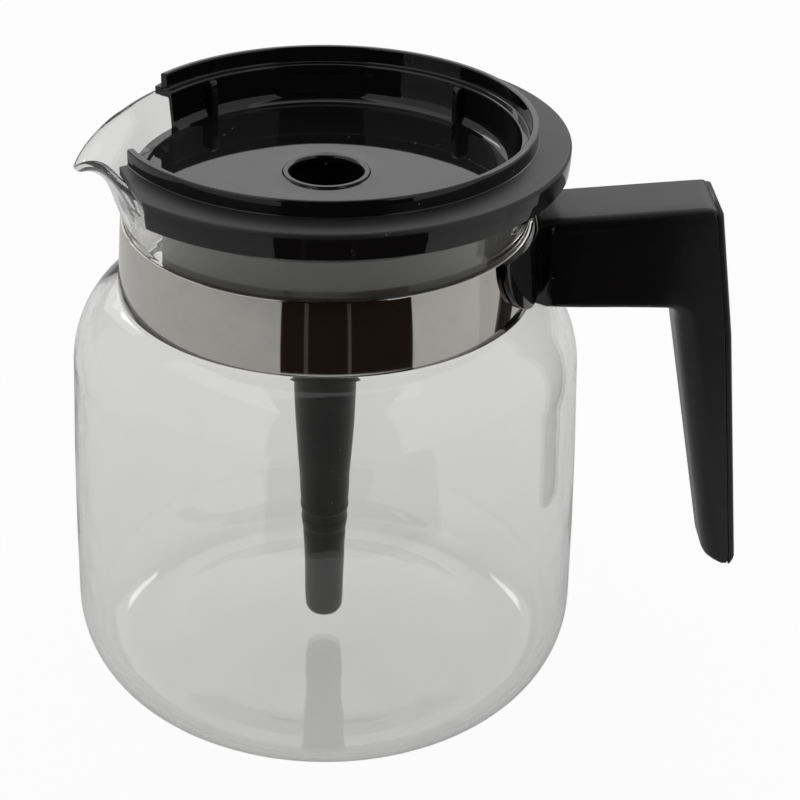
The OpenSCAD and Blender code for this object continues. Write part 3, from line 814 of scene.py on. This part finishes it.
def band_path(radius):
    """Plan of the strip's middle, from one folded end round the neck to the other, in millimetres."""
    gap = math.asin(END_SIDE / radius)
    ring = [(radius * math.cos(a), radius * math.sin(a), 0) for a in np.linspace(gap, 2 * math.pi - gap, 181)]
    first = [(58.2, -4.6, 0), (58.2, END_SIDE, FOLD_BEND)]
    last = [(57.4, -END_SIDE, FOLD_BEND), (57.4, 4.4, 0)]
    ring[0], ring[-1] = (*ring[0][:2], END_BEND), (*ring[-1][:2], END_BEND)
    return rounded(first + ring + last, step=15)


def strip_section(half_t, r):
    """Corners of the strip's section, (out, up share, up mm), rounded, as one ring."""
    arcs = []
    for side, end in ((1, 0), (1, 1), (-1, 1), (-1, 0)):
        for k in range(4):
            a = math.radians(90 * k / 3)
            first, second = math.cos(a), math.sin(a)
            if side * (1 if end else -1) < 0:
                first, second = second, first
            out = side * (half_t - r + r * first)
            lift = (-r + r * second) * (1 if end else -1)
            arcs.append((out, end, lift))
    return arcs


half_band = BAND_THICKNESS / 2
low_path, high_path = band_path(neck_low + half_band), band_path(neck_top + half_band)
count = min(len(low_path), len(high_path))
section = strip_section(half_band, 0.3)
rows = []
for i in range(count):
    a, b = max(i - 1, 0), min(i + 1, count - 1)
    heading = (low_path[b] - low_path[a]).normalized()
    side = Vector((heading.y, -heading.x))
    ear = min(max((low_path[i].x - END_FROM) / END_BLEND, 0), 1)
    bottom, top = BAND_LOW + END_NARROWER * ear, BAND_TOP - END_NARROWER * ear
    row = []
    for out, end, lift in section:
        base = high_path[i] if end else low_path[i]
        base = base.lerp(low_path[i], ear)
        spot = base + side * out
        row.append((spot.x, spot.y, (top if end else bottom) + lift))
    rows.append(row)
band = grid_piece("steel_band", rows, "jug", "polished_steel", caps=True)
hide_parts("neck_band")

# %% [markdown]
# ## The handle
# The handle is one moulding: a straight arm, a sharp outer corner, and a grip whose inner side is rounded
# for the fingers. Its section changes all the way, so it is swept through stations. Each station names a
# point on the outer line, a point on the inner line, and how the section's outer and inner corners are
# rounded. Each rounding is a pair: how deep it goes towards the other line, and how far it goes across the
# width.

# %% Stations of arm and grip
WIDTH = 20.6
cover_line = [(92.35, 129.65), (97.5, 97.7), (105.2, 33.4)]


def on_line(line, share):
    spans = [(Vector(b) - Vector(a)).length for a, b in zip(line, line[1:])]
    left = share * sum(spans)
    for (a, b), span in zip(zip(line, line[1:]), spans):
        if left <= span:
            return Vector(a).lerp(Vector(b), left / span)
        left -= span
    return Vector(line[-1])


top_round, low_round, flat = (4.0, 2.2), (1.2, 1.4), (0.12, 0.12)
stations = [
    ((50.6, 127.6), (50.6, 105.1), top_round, low_round), ((56, 128.05), (56, 104.9), top_round, low_round),
    ((62, 128.55), (62, 104.8), top_round, low_round), ((72, 129.4), (71, 104.9), top_round, low_round),
    ((82, 130.25), (78, 104.85), top_round, (1.3, 1.5)),
    ((89.5, 130.85), (81.4, 104.75), top_round, (1.4, 1.7)),
    ((91.4, 130.85), (82.8, 104.55), (2.4, 2.0), (1.7, 2.2)),
    ((92.3, 130.5), (83.8, 104.15), (1.6, 1.2), (2.2, 2.8)),
    ((92.9, 126.3), (84.4, 103.6), (0.2, 0.2), (2.8, 3.4)), ((93.8, 120.8), (84.75, 102.9), flat, (3.4, 4.1)),
    ((94.8, 114.6), (85.0, 102.1), flat, (4.1, 4.8)), ((95.8, 108.4), (85.2, 101.3), flat, (4.7, 5.4))]
GRIP_STEPS = 15
for k in range(GRIP_STEPS + 1):
    share = k / GRIP_STEPS
    inner = Vector((85.5, 99.8)).lerp(Vector((98.75, 33.6)), share)
    outer = on_line(cover_line, 0.285 + 0.695 * share)
    stations.append((outer, inner, flat, (5.2, 6.0)))
stations += [((105.1, 33.6), (99.0, 32.6), flat, (5.0, 6.2)),
             ((105.15, 32.6), (99.6, 31.6), flat, (4.4, 5.8)),
             ((105.15, 31.7), (100.8, 30.95), flat, (3.4, 5.0)),
             ((105.1, 31.0), (102.5, 30.75), (0.3, 0.6), (1.6, 3.0))]
print("handle stations:", len(stations))

# %% [markdown]
# A station only says where the section stands and how round it is. The next cell draws the section itself,
# as one closed ring of always the same number of points, so that the rings can be joined one to the next.
# The rings turn like a fan round the inner corner, from upright in the arm to level in the grip.


# %% Sweep the handle
def bar_section(outer, inner, width, r_out, r_in):
    """One closed ring of a rounded bar between two points of the side view."""
    outer, inner = Vector(outer), Vector(inner)
    depth = (inner - outer).length
    run = (inner - outer) / depth
    half = width / 2
    deep_in = min(r_in[0], depth * 0.75)
    deep_out = min(r_out[0], (depth - deep_in) * 0.92)
    corners = [(0, -half, deep_out, r_out[1]), (0, half, deep_out, r_out[1]),
               (depth, half, deep_in, r_in[1]), (depth, -half, deep_in, r_in[1])]
    arcs = []
    for i, (d, y, deep, wide) in enumerate(corners):
        towards_d = 1 if d == 0 else -1
        towards_y = 1 if y < 0 else -1
        turns = np.radians(np.linspace(0, 90, 9))
        steps = [(1 - math.cos(a), 1 - math.sin(a)) for a in turns]
        if i in (0, 2):
            steps = [(1 - math.sin(a), 1 - math.cos(a)) for a in turns]
        arcs.append([Vector((d + towards_d * deep * u, y + towards_y * wide * v)) for u, v in steps])
    flat_ring = []
    for i, line in enumerate(arcs):
        onward = arcs[(i + 1) % 4][0]
        flat_ring += line + [line[-1].lerp(onward, k / 4) for k in (1, 2, 3)]
    ring = []
    for d, y in flat_ring:
        spot = outer + run * d
        ring.append((spot.x, y, spot.y))
    return ring


def capped(rows, inset, rise):
    """Adds two smaller rings at the end, so that the cap has a rounded edge."""
    last = np.array(rows[-1])
    centre = last.mean(axis=0)
    onward = last.mean(axis=0) - np.array(rows[-2]).mean(axis=0)
    onward /= np.linalg.norm(onward)
    for share in (0.35, 1.0):
        shrink = 1 - inset * (1 - math.cos(share * math.pi / 2))
        ring = centre + (last - centre) * shrink + onward * rise * math.sin(share * math.pi / 2)
        rows.append([tuple(p) for p in ring])
    return rows


handle_rows = [bar_section(o, i, WIDTH, ro, ri) for o, i, ro, ri in stations]
handle = grid_piece("handle_moulding", capped(handle_rows, 0.35, 0.5), "jug", "gloss_black", caps=True)

# %% [markdown]
# ## The saddle
# Where the handle meets the band it spreads into a thin curved plate that hugs the steel, wide at the top
# and narrow below. It is a patch of a cone with rounded lower corners, given its thickness by a Solidify
# modifier.

# %% Form the saddle
SADDLE_LOW = 109.4
SADDLE_STANDS_OFF = 1.0
SADDLE_PLATE = 1.5
LOW_TURN, TOP_TURN = 18, 36.5


def saddle_half_turn(share):
    """Half the angle that the saddle covers, at a share of its height from the bottom."""
    lift = math.acos(1 - share)
    return LOW_TURN + (TOP_TURN - LOW_TURN) * math.sin(lift)


rows = []
for share in np.concatenate([[0, 0.01, 0.03, 0.06], np.linspace(0.1, 1, 16)]):
    z = SADDLE_LOW + (BAND_TOP - SADDLE_LOW) * share
    radius = BAND_RADIUS - TAPER * (z - BAND_LOW) / (BAND_TOP - BAND_LOW) + SADDLE_STANDS_OFF
    reach = math.radians(saddle_half_turn(share))
    rows.append(spun(radius, np.linspace(-reach, reach, 49), z))
saddle = grid_piece("handle_saddle", rows, "jug", "gloss_black", ring=False)
plate = saddle.modifiers.new("plate", "SOLIDIFY")
plate.thickness = SADDLE_PLATE * MM
plate.offset = 0
soften_edges(saddle, 0.45, 40)
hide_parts("handle_body")

# %% [markdown]
# ## The handle's cover
# A separate strip closes the outer side of the grip. It leaves a hair-thin parting line along the grip and
# a small step at the top corner. It is swept as the handle was, only thin.

# %% Sweep the cover
cover_outer = [(93.95, 129.75), (99.2, 97.7), (106.9, 33.0)]
cover_inner = [(92.5, 129.75), (97.66, 97.7), (105.36, 33.2)]
COVER_STEPS = 24
sharp = (0.06, 0.06)
cover_stations = [(on_line(cover_outer, share), on_line(cover_inner, share), (0.8, 1.2), sharp)
                  for share in (k / COVER_STEPS for k in range(COVER_STEPS + 1))]
cover_stations += [((106.75, 31.9), (105.4, 32.1), (0.8, 1.3), sharp),
                   ((106.3, 31.0), (105.35, 31.2), (0.6, 1.4), sharp),
                   ((105.9, 30.6), (105.3, 30.8), (0.3, 1.6), sharp)]
cover_rows = [bar_section(o, i, WIDTH, ro, ri) for o, i, ro, ri in cover_stations]
cover = grid_piece("handle_cover_strip", cover_rows, "jug", "gloss_black", caps=True)
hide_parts("handle_cover")

# %% [markdown]
# ## Screw and nut
# They are hidden inside the handle, and their CAD shapes are right as they are, so they only get a finish.

# %% Dress the screw and the nut
for name in ("clamp_screw", "clamp_nut"):
    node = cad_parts[name]
    node.data.materials.clear()
    node.data.materials.append(screw_steel)
    soften_edges(node, 0.15, 40, 2)
print("clamp screw and nut in", screw_steel.name)

# %% [markdown]
# ## The lid
# The lid is one moulding: skirt, flange, raised collar, a shelf inside it, a deep dish with a hole in the
# middle, and a boss below for the tube. It is turned first, as one closed section, and then the gap over
# the spout is cut out of it with boolean cutters, as the real mould leaves it out.

# %% Turn the lid
lid_section = rounded([
    (9.5, 125.2, 0.3), (10.7, 125.2, 0.4), (10.7, 134.2, 0.8), (44.1, 134.8, 0.8), (44.1, 121, 0.5),
    (45.9, 121, 0.5), (45.9, 134.8, 0.4), (47, 136.6, 0.5), (47.7, 144.2, 0.4),
    (55.9, 144.2, 0.5), (55.9, 139.6, 0.3), (57.4, 139.6, 0.4), (57.7, 142.5, 2.0), (57.7, 145.95, 0.9),
    (49.9, 146.4, 0.25), (49.9, 150.2, 0.6), (48.2, 150.2, 0.45), (48.0, 146.2, 0.4), (45.9, 146.2, 0.5),
    (45.2, 136.6, 3.2), (10.6, 136.0, 0.1), (10.4, 136.5, 0.3),
    (8.75, 136.5, 1.5), (8.75, 134.7, 0.4), (9.5, 133.8, 0.1)],
    closed=True, step=11)
lid_line = divided(lid_section + [lid_section[0]], 6)[:-1]
lid = grid_piece("lid_moulding", turned_rows(lid_line, 256), "lid", "gloss_black", loop=True)

# %% [markdown]
# The cutters are prisms drawn in plan, with the gap's middle along -X. Two clear the collar and the dish's
# wall, one takes off the flange's edge along two straight lines, a shallow one opens the skirt wider, and
# the last one opens the plug below, so that coffee can reach the spout.


# %% Cut the gap over the spout
def prism(name, plan, low, high):
    n = len(plan)
    points = [Vector((x, y, z)) * MM for z in (low, high) for x, y in plan]
    faces = [tuple(range(n))[::-1], tuple(range(n, 2 * n))]
    faces += [(k, (k + 1) % n, n + (k + 1) % n, n + k) for k in range(n)]
    made = mesh_object(name, points, faces, smooth=False)
    turn_faces_outwards(made)
    return made


def carve(piece, cutters):
    """Takes the cutters away from the piece and leaves the result as its plain mesh."""
    for cutter in cutters:
        cut = piece.modifiers.new("cut", "BOOLEAN")
        cut.operation = "DIFFERENCE"
        cut.solver = "EXACT"
        cut.object = cutter
    bpy.context.view_layer.update()
    carved = piece.evaluated_get(bpy.context.evaluated_depsgraph_get())
    result = bpy.data.meshes.new_from_object(carved)
    piece.modifiers.clear()
    piece.data = result
    for cutter in cutters:
        bpy.data.objects.remove(cutter)


def at(radius, turn):
    """A point in plan, that many degrees away from the middle of the gap."""
    a = math.radians(turn)
    return (-radius * math.cos(a), radius * math.sin(a))


BEYOND, ABOVE_LID = 90, 152
GAP_TURN = 30


def sector(name, radius, half_turn, low, high, pieces):
    """A cutter that takes away what lies outside that radius, over twice that turn."""
    arc = [at(radius, a) for a in np.linspace(0.1 - half_turn, half_turn - 0.1, pieces + 1)]
    return prism(name, [at(BEYOND, -half_turn), *arc, at(BEYOND, half_turn)], low, high)


gap_plan = [(-5, 0)] + [at(BEYOND, a) for a in (GAP_TURN, 10, -10, -GAP_TURN)]
flange_plan = [(-47.5, 20.2), (-36.4, 45.0), (-120, 120), (-120, -120), (-36.4, -45.0), (-47.5, -20.2)]
cutters = [
    prism("gap_above", gap_plan, 136.85, ABOVE_LID),
    sector("gap_wall", 46.1, GAP_TURN, 122, ABOVE_LID, 40),
    prism("flange_edge", flange_plan, 136, 146.42),
    sector("skirt_gap", 50.4, 51, 138, 144.3, 60),
    sector("plug_gap", 43.3, 42, 119, 134.5, 50)]
carve(lid, cutters)
print("lid after cutting:", len(lid.data.polygons), "faces")

# %% [markdown]
# Four ribs stand in the dish against its wall. They are drawn as swept bars with rounded edges and a soft
# top, and joined to the lid. Then the lid is turned a little on the jug, as it lay when it was
# photographed.

# %% Add the ribs and turn the lid
LID_TURN = -4.5
DISH_WALL, RIB_ROOT = 45.3, 47
RIB_EDGE = 0.45


def rib(name, turn):
    rows = []
    for z, reach, half_w in ((136.2, 1.6, 1.1), (144.2, 1.6, 1.05), (145.3, 1.5, 1.0), (145.9, 1.1, 0.9)):
        face = DISH_WALL - reach
        ring = rounded([(face, -half_w, RIB_EDGE), (RIB_ROOT, -half_w, 0), (RIB_ROOT, half_w, 0),
                        (face, half_w, RIB_EDGE)], closed=True)
        a = math.radians(180 - turn)
        rows.append([(p.x * math.cos(a) - p.y * math.sin(a), p.x * math.sin(a) + p.y * math.cos(a), z)
                     for p in ring])
    return grid_piece(name, rows, "lid", "gloss_black", caps=True)


ribs = [rib("lid_rib_%d" % i, turn) for i, turn in enumerate((45.5, -45.5, 132.5, -132.5))]
for piece in [lid] + ribs:
    piece.data.transform(Matrix.Rotation(math.radians(LID_TURN), 4, "Z"))
soften_edges(lid, 0.3, 35)
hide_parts("lid")

# %% [markdown]
# ## The mixing tube
# A tapered tube hangs from the lid and leads fresh coffee to the bottom, so that the whole jug mixes. It
# has a socket on top, a waist, a small step with a few fine rings, and a rounded lower end.

# %% Turn the tube
tube_section = rounded([
    (10.8, 134.1, 0.2), (12.2, 134.1, 0.4), (12.2, 125.2, 1.2), (10.8, 122.4, 3), (8.0, 79, 60),
    (7.5, 67, 40), (6.2, 44.4, 0.6), (6.34, 43.2, 0.3), (6.3, 42.4, 0.2), (6.02, 42, 0.15),
    (5.98, 39.6, 0.15), (6.12, 39.2, 0.2), (5.86, 36.8, 0.2), (5.66, 36.5, 0.1), (5.6, 34.8, 0.1),
    (5.66, 34.4, 0.2), (5.34, 30, 6), (5.0, 14, 4), (4.85, 11, 1.5), (4.1, 9.6, 0.6), (3.6, 9.6, 0.2),
    (3.6, 30, 2), (4.7, 42, 3), (6.2, 70, 20), (9.4, 122.4, 2), (9.4, 125.2, 0.3), (10.8, 125.2, 0.2)],
    closed=True, step=15)
tube_line = divided(tube_section + [tube_section[0]], 5)[:-1]
tube = grid_piece("mixing_tube_moulding", turned_rows(tube_line, 96), "lid", "satin_black", loop=True)
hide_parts("mixing_tube")
